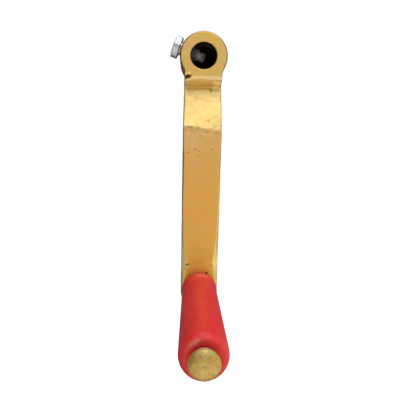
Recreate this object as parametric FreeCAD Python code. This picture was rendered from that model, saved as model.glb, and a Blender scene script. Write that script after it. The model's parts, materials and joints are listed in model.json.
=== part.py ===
import FreeCAD, Part
import math
import os

from FreeCAD import Vector

# Hand crank for a window operator's shaft, in millimetres. +Z is up the arm, from the grip to the boss.
# The boss's bore runs along Y, and slides over the operator's shaft from the rear, which is +Y.
# The origin is on the bore's axis, in the boss's rear face. The grip stands out towards -Y at the arm's foot.
# A "front" is a distance in front of the origin, along -Y, and a "drop" is a distance below it, along -Z.

# Boss and bore
BOSS_R = 14.2
BOSS_LENGTH = 30.0
BOSS_EDGE = 0.6
BORE_R = 7.5
BORE_EDGE = 0.5
REAR_SEAT = 14.0  # length of the bore's wall that carries the shaft, from the rear face
RELIEF_R = 8.0  # undercut around the set bolt, with room for the burr that it raises on a shaft
RELIEF_WIDTH = 11.0

# Arm
THROW = 140.0  # from the bore's axis to the grip's axis
ARM_THICK = 10.0
ARM_FRONT = 34.0  # the lower arm's front face
NECK_FRONT = 22.0  # the hollow under the boss
NECK_HALF = 11.2  # half of the arm's width where it leaves the boss
BEND_HALF = 11.55
WAIST_OUTER_HALF = 11.35
END_R = 11.3  # round end of the arm
END_DROP = 143.0  # centre of the round end, a little below the spindle's hole
SHELF_DROP = 13.2  # where the boss's front face, carried down the arm, falls back into the hollow
SHELF_ROUND = 3.0
HOLLOW_DROP = 18.2
HOLLOW_ROUND = 1.0
BEND_DROP = 43.0  # where the arm turns straight down
BEND_ROUND = 6.0
SIDE_FILLET_R = 8.0  # where the boss meets the arm's right side; the left side has a sharp corner
ROOT_DROP = 10.0  # where the bar's rear face ends, inside the boss
STRAIGHT_DROP = 48.0  # where the arm's drafted edges start
BEVEL_DEPTH = 3.5
WAIST_DROP = 124.8  # where the front land is narrowest, just above the pad under the grip
WAIST_HALF = 8.1
PAD_R = 10.4

# Spindle, with a standard M8 end, and the pieces that clamp it.
# Distances "out" start at the arm's front face and run along -Y.
THREAD_R = 4.0
EYE_HOLE_R = 4.2
SHANK_R = 5.0
WASHER_R = 8.0
WASHER_HOLE_R = 4.2
WASHER_THICK = 1.6
SPRING_WASHER_R = 7.4
SPRING_WASHER_HOLE_R = 4.1
SPRING_WASHER_THICK = 2.0
SPRING_WASHER_SLIT = 1.4
SPRING_WASHER_SLANT = 25.0  # degrees between the slit and the washer's axis
NUT_FLATS = 13.0
NUT_HEIGHT = 6.8
NUT_HOLE_R = 4.05
THREAD_PAST_NUT = 1.6
END_PLAY = 0.4
HEAD_WASHER_R = 5.9
HEAD_WASHER_HOLE_R = 5.1
HEAD_WASHER_THICK = 2.2
HEAD_R = 6.85
HEAD_BAND = 2.1  # straight edge of the domed head
DOME_RISE = 2.3
DIMPLE_R = 1.5
DIMPLE_DEPTH = 0.6

# Grip, moulded over a steel tube
GRIP_BASE_R = 10.3
GRIP_BASE_ROUND = 2.8
GRIP_RIM_R = 11.2
GRIP_RIM_ROUND = 4.2
GRIP_LENGTH = 89.8
GRIP_LIP_R = 5.3
GRIP_LIP_ROUND = 0.4
GRIP_LIP = 2.4  # thickness of the plastic that closes each end around the tube
TUBE_R = 6.5
TUBE_HOLE_R = 5.05

# Set bolt, M8 by 16 with a low head and a dog point
BOLT_FLATS = 13.0
BOLT_HEAD = 4.0
BOLT_LENGTH = 16.0
BOLT_THREAD_R = 3.95
BOLT_POINT_R = 2.75
BOLT_POINT = 4.0
BOLT_HOLE_R = 4.0
BOLT_STANDOFF = 1.3  # gap between the boss and the head, with the point just past the bore's axis
BOLT_FRONT = 20.5
BOLT_RISE = 21.0  # degrees that the bolt's head end rises, on the -X side
BOLT_TURN = 22.0  # degrees that its hexagon is turned about its axis

SMALL_EDGE = 0.5  # chamfers on threads and points
HEX_CHAMFER = 30.0  # degrees
HEX_FACE = 0.95  # a hexagon's flat end face, as a share of its width across flats
PAST = 5.0  # how far a cutting shape runs past what it cuts

ORIGIN = Vector(0, 0, 0)
Y_AXIS = Vector(0, 1, 0)
Z_AXIS = Vector(0, 0, 1)


def edge(start, end):
    return Part.LineSegment(start, end).toShape()


def arc(start, middle, end):
    return Part.Arc(start, middle, end).toShape()


def rounded(corners):
    """A closed wire through corners (u, v, radius) in the XY plane, with an arc of that radius at each."""
    runs = []
    for i, (u, v, radius) in enumerate(corners):
        here = Vector(u, v, 0)
        back = (Vector(*corners[i - 1][:2], 0) - here).normalize()
        on = (Vector(*corners[(i + 1) % len(corners)][:2], 0) - here).normalize()
        half = back.getAngle(on) / 2
        reach = radius / math.tan(half)
        middle = (back + on).normalize() * (radius / math.sin(half) - radius)
        runs.append((radius, here + back * reach, here + middle, here + on * reach))
    edges = []
    for i, (radius, start, middle, end) in enumerate(runs):
        if radius:
            edges.append(arc(start, middle, end))
        edges.append(edge(end, runs[(i + 1) % len(runs)][1]))
    return Part.Wire(edges)


def side_bar(corners, width):
    """A bar with an outline (front, drop, radius) seen from the side, centred on x = 0."""
    face = Part.Face(rounded([(-front, -drop, radius) for front, drop, radius in corners]))
    # A third of a turn about the cube's diagonal takes X to Y, Y to Z and Z to X.
    face.rotate(ORIGIN, Vector(1, 1, 1), 120)
    return face.translated(Vector(-width / 2, 0, 0)).extrude(Vector(width, 0, 0))


def rod(radius, front, rear, drop=0.0):
    """A cylinder along Y."""
    return Part.makeCylinder(radius, front - rear, Vector(0, -front, -drop), Y_AXIS)


def taper(front_radius, rear_radius, front, rear, drop=0.0):
    """A cone along Y."""
    return Part.makeCone(front_radius, rear_radius, front - rear, Vector(0, -front, -drop), Y_AXIS)


def turned(wire):
    """A round piece on the grip's axis, from its half section (radius, out) drawn in the XY plane."""
    solid = Part.Face(wire).revolve(ORIGIN, Y_AXIS, 360)
    return solid.rotated(ORIGIN, Z_AXIS, 180).translated(Vector(0, -ARM_FRONT, -THROW))


def ring(outer, inner, out, thick):
    """A washer or a tube on the grip's axis, from out to out + thick."""
    end = out + thick
    return turned(rounded([(inner, out, 0), (outer, out, 0), (outer, end, 0), (inner, end, 0)]))


def hexagon(flats, height, both_ends):
    """A hexagonal head or nut along +Z from z = 0, chamfered on its top or on both ends."""
    corner_r = flats / math.sqrt(3)
    points = [FreeCAD.Rotation(Z_AXIS, 60 * i).multVec(Vector(corner_r, 0, 0)) for i in range(7)]
    prism = Part.Face(Part.makePolygon(points)).extrude(Vector(0, 0, height))
    face_r = HEX_FACE * flats / 2
    fall = (corner_r - face_r) * math.tan(math.radians(HEX_CHAMFER))
    start = fall if both_ends else 0
    limits = Part.makeCylinder(corner_r, height - fall - start, Vector(0, 0, start))
    limits = limits.fuse(Part.makeCone(corner_r, face_r, fall, Vector(0, 0, height - fall)))
    if both_ends:
        limits = limits.fuse(Part.makeCone(face_r, corner_r, fall))
    return prism.common(limits).removeSplitter()


def along_bolt(shape):
    """Turns a shape built along +Z, from the bore's axis outwards, onto the set bolt's axis."""
    tilted = shape.rotated(ORIGIN, Y_AXIS, BOLT_RISE - 90)
    return tilted.translated(Vector(0, -BOLT_FRONT, 0))


def side_curve(points, side):
    """One long edge of the arm seen from the front, smooth through points (half width, drop)."""
    curve = Part.BSplineCurve()
    curve.interpolate([Vector(side * half, 0, -drop) for half, drop in points])
    return curve.toShape()


def arm_outline(upper, lower, front):
    """The lower arm seen from the front, from its drafted edges' start to its round end, as a wire."""
    top_half, top_drop = upper[0]
    end_r, end_drop = lower[-1]
    lowest = Vector(0, 0, -end_drop - end_r)
    round_end = arc(Vector(end_r, 0, -end_drop), lowest, Vector(-end_r, 0, -end_drop))
    top = edge(Vector(-top_half, 0, -top_drop), Vector(top_half, 0, -top_drop))
    right = [side_curve(upper, 1), side_curve(lower, 1)]
    left = [side_curve(lower[::-1], -1), side_curve(upper[::-1], -1)]
    return Part.Wire([*right, round_end, *left, top]).translated(Vector(0, -front, 0))


def lower_arm():
    """The straight part of the arm, whose front edges slope in to a flat land with a waist above the pad."""
    top = (BEND_HALF, STRAIGHT_DROP)
    body_upper = [top, (11.45, 93.0), (WAIST_OUTER_HALF, WAIST_DROP)]
    body_lower = [(WAIST_OUTER_HALF, WAIST_DROP), (END_R, END_DROP)]
    land_upper = [top, (11.1, 70.0), (10.8, 93.0), (10.0, 110.0), (WAIST_HALF, WAIST_DROP)]
    land_lower = [(WAIST_HALF, WAIST_DROP), (9.3, 129.0), (10.05, 134.0), (PAD_R, END_DROP)]
    shoulder = ARM_FRONT - BEVEL_DEPTH
    body = arm_outline(body_upper, body_lower, shoulder)
    land = arm_outline(land_upper, land_lower, ARM_FRONT)
    straight = Part.Face(body).extrude(Vector(0, ARM_THICK - BEVEL_DEPTH, 0))
    return straight.fuse(Part.makeLoft([body, land], True, True))


def boss():
    """The round boss, whose front edge rolls under at the bottom with the shelf of the neck."""
    barrel = rod(BOSS_R, BOSS_LENGTH - BOSS_EDGE, BOSS_EDGE)
    barrel = barrel.fuse(taper(BOSS_R - BOSS_EDGE, BOSS_R, BOSS_LENGTH, BOSS_LENGTH - BOSS_EDGE))
    barrel = barrel.fuse(taper(BOSS_R, BOSS_R - BOSS_EDGE, BOSS_EDGE, 0))
    behind_shelf = side_bar(
        [
            (BOSS_LENGTH, -BOSS_R - PAST, 0),
            (BOSS_LENGTH, SHELF_DROP, SHELF_ROUND),
            (NECK_FRONT, HOLLOW_DROP, 0),
            (-PAST, HOLLOW_DROP, 0),
            (-PAST, -BOSS_R - PAST, 0),
        ],
        2 * BOSS_R + PAST,
    )
    return barrel.common(behind_shelf)


def neck():
    """The bent part of the arm, from inside the boss to the straight part."""
    tilt = math.atan2(ARM_FRONT - NECK_FRONT, BEND_DROP - HOLLOW_DROP)
    rear = ARM_FRONT - ARM_THICK
    rear_bend_drop = BEND_DROP + ARM_THICK * math.tan(tilt / 2)
    root_rear = rear - (rear_bend_drop - ROOT_DROP) * math.tan(tilt)
    bar = side_bar(
        [
            (BOSS_LENGTH, 0, 0),
            (BOSS_LENGTH, SHELF_DROP, SHELF_ROUND),
            (NECK_FRONT, HOLLOW_DROP, HOLLOW_ROUND),
            (ARM_FRONT, BEND_DROP, BEND_ROUND),
            (ARM_FRONT, STRAIGHT_DROP, 0),
            (rear, STRAIGHT_DROP, 0),
            (rear, rear_bend_drop, BEND_ROUND),
            (root_rear, ROOT_DROP, 0),
            (root_rear, 0, 0),
        ],
        2 * BOSS_R,
    )
    fillet_x = NECK_HALF + SIDE_FILLET_R
    fillet_reach = BOSS_R + SIDE_FILLET_R
    fillet_centre = Vector(fillet_x, 0, -math.sqrt(fillet_reach**2 - fillet_x**2))
    on_arm = Vector(NECK_HALF, 0, fillet_centre.z)
    on_boss = fillet_centre * (BOSS_R / fillet_reach)
    towards_middle = ((on_arm + on_boss) / 2 - fillet_centre).normalize()
    left_top = Vector(-NECK_HALF, 0, 0)
    left_end = Vector(-BEND_HALF, 0, -STRAIGHT_DROP)
    right_end = Vector(BEND_HALF, 0, -STRAIGHT_DROP)
    right_top = Vector(on_boss.x, 0, 0)
    outline = Part.Wire(
        [
            edge(left_top, left_end),
            edge(left_end, right_end),
            edge(right_end, on_arm),
            arc(on_arm, fillet_centre + towards_middle * SIDE_FILLET_R, on_boss),
            edge(on_boss, right_top),
            edge(right_top, left_top),
        ]
    )
    window = Part.Face(outline).extrude(Vector(0, -ARM_FRONT - PAST, 0))
    return bar.common(window)


def crank_arm():
    """Boss, bent arm and eye, forged as one piece, then drilled and tapped."""
    forging = boss().fuse(neck()).fuse(lower_arm())
    cuts = [
        rod(BORE_R, BOSS_LENGTH + PAST, -PAST),
        taper(BORE_R + BORE_EDGE, BORE_R, BOSS_LENGTH, BOSS_LENGTH - BORE_EDGE),
        rod(RELIEF_R, REAR_SEAT + RELIEF_WIDTH, REAR_SEAT),
        along_bolt(Part.makeCylinder(BOLT_HOLE_R, BOSS_R + PAST)),
        rod(EYE_HOLE_R, ARM_FRONT + PAST, ARM_FRONT - ARM_THICK - PAST, THROW),
    ]
    for cut in cuts:
        forging = forging.cut(cut)
    return forging.removeSplitter()


def set_bolt():
    """The bolt that locks the crank to the shaft."""
    head_start = BOSS_R + BOLT_STANDOFF
    point_start = head_start - BOLT_LENGTH
    thread_start = point_start + BOLT_POINT
    full_thread = thread_start + SMALL_EDGE
    tip_r = BOLT_POINT_R - SMALL_EDGE
    lead_r = BOLT_THREAD_R - 2 * SMALL_EDGE
    stages = [
        Part.makeCone(tip_r, BOLT_POINT_R, SMALL_EDGE, Vector(0, 0, point_start)),
        Part.makeCylinder(BOLT_POINT_R, BOLT_POINT, Vector(0, 0, point_start + SMALL_EDGE)),
        Part.makeCone(lead_r, BOLT_THREAD_R, SMALL_EDGE, Vector(0, 0, thread_start)),
        Part.makeCylinder(BOLT_THREAD_R, head_start - full_thread, Vector(0, 0, full_thread)),
    ]
    bolt = hexagon(BOLT_FLATS, BOLT_HEAD, False).rotated(ORIGIN, Z_AXIS, BOLT_TURN)
    bolt = bolt.translated(Vector(0, 0, head_start))
    for stage in stages:
        bolt = bolt.fuse(stage)
    return along_bolt(bolt.removeSplitter())


def head_seat():
    """How far out the underside of the spindle's head is."""
    return grip_end() + END_PLAY + HEAD_WASHER_THICK


def grip_start():
    return WASHER_THICK + END_PLAY


def grip_end():
    return grip_start() + GRIP_LENGTH


def grip_spindle():
    """The axle of the grip: threaded end, shoulder, running shank and domed head with a centre dimple."""
    clamped = ARM_THICK + WASHER_THICK + SPRING_WASHER_THICK + NUT_HEIGHT
    thread_end = -(clamped + THREAD_PAST_NUT)
    band_end = head_seat() + HEAD_BAND
    top = band_end + DOME_RISE
    # The dome is part of a sphere through its rim and its top.
    sphere_r = (HEAD_R**2 + DOME_RISE**2) / (2 * DOME_RISE)

    def dome_height(radius):
        return top - sphere_r + math.sqrt(sphere_r**2 - radius**2)

    dimple_edge = Vector(DIMPLE_R, dome_height(DIMPLE_R), 0)
    dimple_floor = Vector(0, dimple_edge.y - DIMPLE_DEPTH, 0)
    corners = [
        Vector(0, thread_end, 0),
        Vector(THREAD_R - SMALL_EDGE, thread_end, 0),
        Vector(THREAD_R, thread_end + SMALL_EDGE, 0),
        Vector(THREAD_R, WASHER_THICK, 0),
        Vector(SHANK_R, WASHER_THICK, 0),
        Vector(SHANK_R, head_seat(), 0),
        Vector(HEAD_R, head_seat(), 0),
        Vector(HEAD_R, band_end, 0),
    ]
    edges = [edge(corners[i], corners[i + 1]) for i in range(len(corners) - 1)]
    edges.append(arc(corners[-1], Vector(HEAD_R / 2, dome_height(HEAD_R / 2), 0), dimple_edge))
    edges.append(edge(dimple_edge, dimple_floor))
    edges.append(edge(dimple_floor, corners[0]))
    return turned(Part.Wire(edges))


def base_washer():
    """Plain washer between the arm and the spindle's shoulder, which the grip bears on."""
    return ring(WASHER_R, WASHER_HOLE_R, 0, WASHER_THICK)


def head_washer():
    """Small washer that keeps the grip off the spindle's head."""
    return ring(HEAD_WASHER_R, HEAD_WASHER_HOLE_R, grip_end() + END_PLAY, HEAD_WASHER_THICK)


def rear_washer():
    return ring(WASHER_R, WASHER_HOLE_R, -ARM_THICK - WASHER_THICK, WASHER_THICK)


def spring_washer():
    """Split lock washer, squeezed flat under the nut."""
    out = -ARM_THICK - WASHER_THICK - SPRING_WASHER_THICK
    washer = ring(SPRING_WASHER_R, SPRING_WASHER_HOLE_R, out, SPRING_WASHER_THICK)
    slit = Part.makeBox(SPRING_WASHER_SLIT, 2 * SPRING_WASHER_R, SPRING_WASHER_R + PAST)
    slit = slit.translated(Vector(-SPRING_WASHER_SLIT / 2, -SPRING_WASHER_R, 0))
    slit.rotate(ORIGIN, Z_AXIS, SPRING_WASHER_SLANT)
    centre = -ARM_FRONT - out - SPRING_WASHER_THICK / 2
    return washer.cut(slit.translated(Vector(0, centre, -THROW)))


def spindle_nut():
    out = -ARM_THICK - WASHER_THICK - SPRING_WASHER_THICK - NUT_HEIGHT
    hole = Part.makeCylinder(NUT_HOLE_R, NUT_HEIGHT + 2 * PAST, Vector(0, 0, -PAST))
    nut = hexagon(NUT_FLATS, NUT_HEIGHT, True).cut(hole)
    nut.rotate(ORIGIN, Vector(1, 0, 0), 90)
    return nut.translated(Vector(0, -ARM_FRONT - out, -THROW))


def grip_sleeve():
    """The tapered plastic grip, closed around its tube at both ends."""
    start = grip_start()
    end = grip_end()
    corners = [
        (GRIP_LIP_R, start, GRIP_LIP_ROUND),
        (GRIP_BASE_R, start, GRIP_BASE_ROUND),
        (GRIP_RIM_R, end, GRIP_RIM_ROUND),
        (GRIP_LIP_R, end, GRIP_LIP_ROUND),
        (GRIP_LIP_R, end - GRIP_LIP, 0),
        (TUBE_R, end - GRIP_LIP, 0),
        (TUBE_R, start + GRIP_LIP, 0),
        (GRIP_LIP_R, start + GRIP_LIP, 0),
    ]
    return turned(rounded(corners))


def grip_tube():
    """Steel tube inside the plastic, which turns on the spindle."""
    return ring(TUBE_R, TUBE_HOLE_R, grip_start() + GRIP_LIP, GRIP_LENGTH - 2 * GRIP_LIP)


PIECES = {
    "crank_arm": crank_arm,
    "set_bolt": set_bolt,
    "grip_spindle": grip_spindle,
    "base_washer": base_washer,
    "grip_sleeve": grip_sleeve,
    "grip_tube": grip_tube,
    "head_washer": head_washer,
    "rear_washer": rear_washer,
    "spring_washer": spring_washer,
    "spindle_nut": spindle_nut,
}

os.makedirs("parts", exist_ok=True)
for name, make in PIECES.items():
    shape = make()
    assert shape.isValid() and len(shape.Solids) == 1, name
    shape.Solids[0].exportStep(f"parts/{name}.step")
    box = shape.BoundBox
    size = f"{box.XLength:6.1f} x {box.YLength:6.1f} x {box.ZLength:6.1f} mm"
    print(f"{name:14}{shape.Volume:9.1f} mm3  {size}")
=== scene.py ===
import json
import math

import bpy
import numpy as np
from mathutils import Matrix, Vector, noise


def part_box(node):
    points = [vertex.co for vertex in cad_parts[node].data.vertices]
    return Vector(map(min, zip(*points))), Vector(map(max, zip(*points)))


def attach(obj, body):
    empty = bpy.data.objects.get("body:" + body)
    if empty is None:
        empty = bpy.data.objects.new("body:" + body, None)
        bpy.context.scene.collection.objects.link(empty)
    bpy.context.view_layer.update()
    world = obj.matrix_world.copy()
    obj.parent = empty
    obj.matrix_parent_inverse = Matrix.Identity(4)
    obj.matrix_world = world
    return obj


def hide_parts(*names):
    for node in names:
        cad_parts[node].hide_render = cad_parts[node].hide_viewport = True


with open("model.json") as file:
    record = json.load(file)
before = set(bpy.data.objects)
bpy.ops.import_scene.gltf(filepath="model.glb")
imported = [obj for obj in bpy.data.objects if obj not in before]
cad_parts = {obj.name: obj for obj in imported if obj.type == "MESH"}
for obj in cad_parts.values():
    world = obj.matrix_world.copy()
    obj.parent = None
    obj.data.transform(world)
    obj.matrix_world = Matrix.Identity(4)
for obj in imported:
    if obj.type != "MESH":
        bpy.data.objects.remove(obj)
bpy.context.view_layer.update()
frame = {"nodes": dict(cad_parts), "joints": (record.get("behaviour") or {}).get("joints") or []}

# Positions are in the CAD frame: +X is to the right, -Y towards the viewer and +Z up the arm.
MM = 0.001
BOX_MARGIN = 0.01  # how far inside the CAD box the arm and the spindle are kept, in millimetres

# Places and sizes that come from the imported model, in millimetres
ARM_LOW, ARM_HIGH = (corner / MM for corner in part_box("crank_arm"))
GRIP_LOW, GRIP_HIGH = (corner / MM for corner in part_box("grip_sleeve"))
SPINDLE_LOW, SPINDLE_HIGH = (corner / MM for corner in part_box("grip_spindle"))
BOLT_LOW, BOLT_HIGH = (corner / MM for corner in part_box("set_bolt"))
JOINTS = {joint["name"]: joint for joint in frame["joints"]}
BOLT_AXIS = Vector(JOINTS["set_bolt_travel"]["axis"])
ARM_FACE = ARM_LOW.y
BOSS_R = ARM_HIGH.z
GRIP_AXIS_Z = (GRIP_LOW.z + GRIP_HIGH.z) / 2
BOLT_Y = (BOLT_LOW.y + BOLT_HIGH.y) / 2
BORE_R = 7.5

# The set bolt and the spindle's rear end have the same thread
THREAD_PITCH = 1.25


# ---------------------------------------------------------------- camera

CAMERA_AT = Vector((-8.1, -297.2, -52.7)) * MM
CAMERA_YAW = -1.65
CAMERA_PITCH = 7.0
CAMERA_ROLL = 1.27
CAMERA_LENS = 39.7
SENSOR_WIDTH = 36.0


def new_object(name, data):
    """An object for the data, linked to the scene."""
    made = bpy.data.objects.new(name, data)
    bpy.context.scene.collection.objects.link(made)
    return made


def make_camera():
    """A camera in front of the arm that looks a little down; its angles are in degrees."""
    yaw, pitch, roll = (math.radians(a) for a in (CAMERA_YAW, CAMERA_PITCH, CAMERA_ROLL))
    level_right = Vector((math.cos(yaw), math.sin(yaw), 0))
    level_forward = Vector((-math.sin(yaw), math.cos(yaw), 0))
    forward = level_forward * math.cos(pitch) - Vector((0, 0, math.sin(pitch)))
    level_up = level_forward * math.sin(pitch) + Vector((0, 0, math.cos(pitch)))
    right = level_right * math.cos(roll) + level_up * math.sin(roll)
    up = level_up * math.cos(roll) - level_right * math.sin(roll)
    camera = new_object("camera", bpy.data.cameras.new("camera"))
    rotation = Matrix((right, up, -forward)).transposed().to_4x4()
    camera.matrix_world = Matrix.Translation(CAMERA_AT) @ rotation
    camera.data.lens = CAMERA_LENS
    camera.data.sensor_width = SENSOR_WIDTH
    camera.data.clip_start = 0.01
    camera.data.clip_end = 20.0
    bpy.context.scene.camera = camera


# ---------------------------------------------------------------- mesh tools


def mesh_object(name, points, faces):
    """A mesh object through points in millimetres."""
    mesh = bpy.data.meshes.new(name)
    mesh.from_pydata((np.asarray(points) * MM).tolist(), [], faces)
    return new_object(name, mesh)


def make_piece(name, points, faces, body, replaced):
    """A smooth-shaded piece that rides on a body, in place of the CAD nodes named."""
    piece = mesh_object(name, points, faces)
    piece.data.polygons.foreach_set("use_smooth", [True] * len(faces))
    piece.data.update()
    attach(piece, body)
    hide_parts(*replaced)
    return piece


def set_attribute(piece, name, values):
    """Paints one number on each vertex, which the materials read by its name."""
    attribute = piece.data.attributes.new(name, "FLOAT", "POINT")
    attribute.data.foreach_set("value", np.asarray(values, np.float32))


def bumps(points, wavelength, octaves=1, offset=0.0):
    """Smooth noise from about -1 to 1 at points in millimetres."""
    shift = Vector((offset, -offset, offset))
    scale = 1 / wavelength
    return np.array([noise.fractal(Vector(p) * scale + shift, 1.0, 2.0, octaves) for p in points])


def smooth_step(low, high, values):
    """From 0 at low to 1 at high, which may be the smaller of the two."""
    t = np.clip((values - low) / (high - low), 0, 1)
    return t * t * (3 - 2 * t)


def bell(values, middle, width, power=2):
    """1 at the middle and 1/e at the width; a power of 4 has a flatter top and steeper sides."""
    return np.exp(-(((values - middle) / width) ** power))


def rounded_profile(corners, step):
    """Points along straight runs through (radius, along, fillet) corners, with an arc at each inner one."""
    points = [np.array(corners[0][:2], float)]
    for before, (u, v, fillet), after in zip(corners, corners[1:], corners[2:]):
        here = np.array([u, v], float)
        if fillet == 0:
            points.append(here)
            continue
        back = np.array(before[:2], float) - here
        on = np.array(after[:2], float) - here
        back /= np.linalg.norm(back)
        on /= np.linalg.norm(on)
        half = math.acos(float(np.clip(back @ on, -1, 1))) / 2
        centre = here + (back + on) / np.linalg.norm(back + on) * fillet / math.sin(half)
        start = here + back * fillet / math.tan(half) - centre
        end = here + on * fillet / math.tan(half) - centre
        turn = math.pi - 2 * half
        count = max(3, math.ceil(turn * fillet / step) + 1)
        for t in np.linspace(0, 1, count):
            mix = (math.sin((1 - t) * turn) * start + math.sin(t * turn) * end) / math.sin(turn)
            points.append(centre + mix)
    points.append(np.array(corners[-1][:2], float))
    return np.array(points)


def divided(points, step):
    """The same outline with no run longer than step."""
    out = [points[0]]
    for start, end in zip(points, points[1:]):
        count = max(1, math.ceil(np.linalg.norm(end - start) / step))
        for i in range(1, count + 1):
            out.append(start + (end - start) * i / count)
    return np.array(out)


def ring_skin(radii, along, closed):
    """Local points and faces of a skin over rings; radii and along are (rings, columns) arrays.
    A closed skin joins its last ring to its first, and an open one ends on the axis at both ends."""
    rows, columns = radii.shape
    angles = np.arange(columns) * 2 * math.pi / columns
    points = np.stack([radii * np.cos(angles), radii * np.sin(angles), along], -1).reshape(-1, 3)
    faces = []
    for i in range(rows if closed else rows - 1):
        row, above = i * columns, (i + 1) % rows * columns
        for j in range(columns):
            on = (j + 1) % columns
            faces.append((row + j, row + on, above + on, above + j))
    if not closed:
        ends = [(0, 0, along[0].mean()), (0, 0, along[-1].mean())]
        points = np.vstack([points, ends])
        last = (rows - 1) * columns
        for j in range(columns):
            on = (j + 1) % columns
            faces.append((rows * columns, on, j))
            faces.append((rows * columns + 1, last + j, last + on))
    return points, faces


class Rings:
    """A stack of rings about local Z, each with one height and radius or with one for each column."""

    def __init__(self, columns):
        self.columns = columns
        self.angles = np.arange(columns) * 2 * math.pi / columns
        self.rows = []

    def add(self, along, radius):
        """Lays a ring on top."""
        self.rows.append([np.broadcast_to(np.asarray(part, float), self.columns) for part in (along, radius)])

    def skin(self, highest=math.inf):
        """Local points and faces of the closed-ended skin over the rings, with none higher than highest."""
        along, radii = (np.array(part) for part in zip(*self.rows))
        return ring_skin(radii, np.minimum(along, highest), closed=False)


def placed(points, origin, x_way, axis):
    """Local points turned so that local Z runs along axis and local X along x_way."""
    axis = Vector(axis).normalized()
    x_way = Vector(x_way).normalized()
    turn = np.array([x_way, axis.cross(x_way), axis])
    return points @ turn + np.array(origin)


def on_grip_axis(points):
    """Local Z is the distance out from the arm's front face, and local Y is up."""
    return placed(points, (0, ARM_FACE, GRIP_AXIS_Z), (1, 0, 0), (0, -1, 0))


def thread_depth(along, angles):
    """From 0 at a thread's root to 1 at its crest."""
    phase = (along / THREAD_PITCH - angles / (2 * math.pi)) % 1
    return np.clip(1.5 * np.abs(2 * phase - 1) - 0.25, 0, 1)


def between(first, second, share):
    """first where share is 0 and second where it is 1."""
    return first + (second - first) * share


# ---------------------------------------------------------------- crank arm

VOXEL = 0.42
WELD_DISTANCE = 0.002
ARM_SMOOTHING = 13  # rounds

# Heights and depths of the arm's features, in millimetres
SHELF_REAR_Y = -20.0  # the step under the boss's front lies before this
SHELF_TOP = (-10.8, -12.0)
SHELF_FOOT = (-20.0, -17.5)
SHELF_HIGHLIGHT_X = (5.6, 3.4)  # the middle and half width of its painted highlight
SHELF_HIGHLIGHT_Z = (-12.6, 1.1)
HOLLOW_Z = -17.0
HOLLOW_FILL_RIGHT_X = (2.0, 9.5)
HOLLOW_FILL_LEFT_X = (8.0, 10.5)  # to the left of the middle
CREASE_Z = -20.0
# The crease's dark band is painted shade on the slope that faces down.
CREASE_DARK_TOP = (-13.8, -15.2)
CREASE_DARK_FOOT = (-19.4, -18.5)
CREASE_FADES_RIGHT_X = (4.5, 7.5)
CREASE_FADES_LEFT_X = (-11.0, -9.5)
BEND_Z = -43.0
BEND_DROP = 1.8  # how far the bend's line drops to the right over the boss's radius
BEND_LINE_RISE = 0.7  # how far the line's dirt lies above BEND_Z
BEND_LINE_WIDTH = 0.45
FLECKS_BELOW = 3.4  # from the bend's line
FLECKS_WIDTH = 1.8
BEVEL_Z = (-62.0, -92.0)  # the bevels along the front edges widen between these

# How far the forging departs from its plain outline, in millimetres
BEND_WANDER = 0.5
HOLLOW_FILL = 1.0
HOLLOW_FILL_RIGHT = 0.9
HOLLOW_FILL_LEFT = 0.5
SHELF_WAVE = 0.5
CREASE_LIFT = 1.9
SKIN_SWELL = 0.09
SKIN_RIPPLE = 0.03
BEND_LUMPS = 0.09
PIT_DEPTH = 0.6
PIT_RAGGEDNESS = 0.45
PIT_SQUASH = 1.15  # pits are this much wider than they are high
CREASE_DARK_WANDER = 1.1  # how far the top edge of the crease's dark band wanders

# Shares of painted edge shade, of dirt, and of wear with painted highlight
EDGE_SHADE = 0.85
BEND_DIRT = 0.30
FLECKS = 0.6
RIGHT_BEVEL_WEAR_AND_HIGHLIGHT = 0.6

# How far sideways the skin faces, from 0 to 1, where the painted shade along an edge starts
SHADE_STARTS = 0.50
SHADE_SOONER_ON_BOSS = 0.30
SHADE_SOONER_AT_LEFT = 0.18
SHADE_LATER_ON_BEVELS = 0.40

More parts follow.
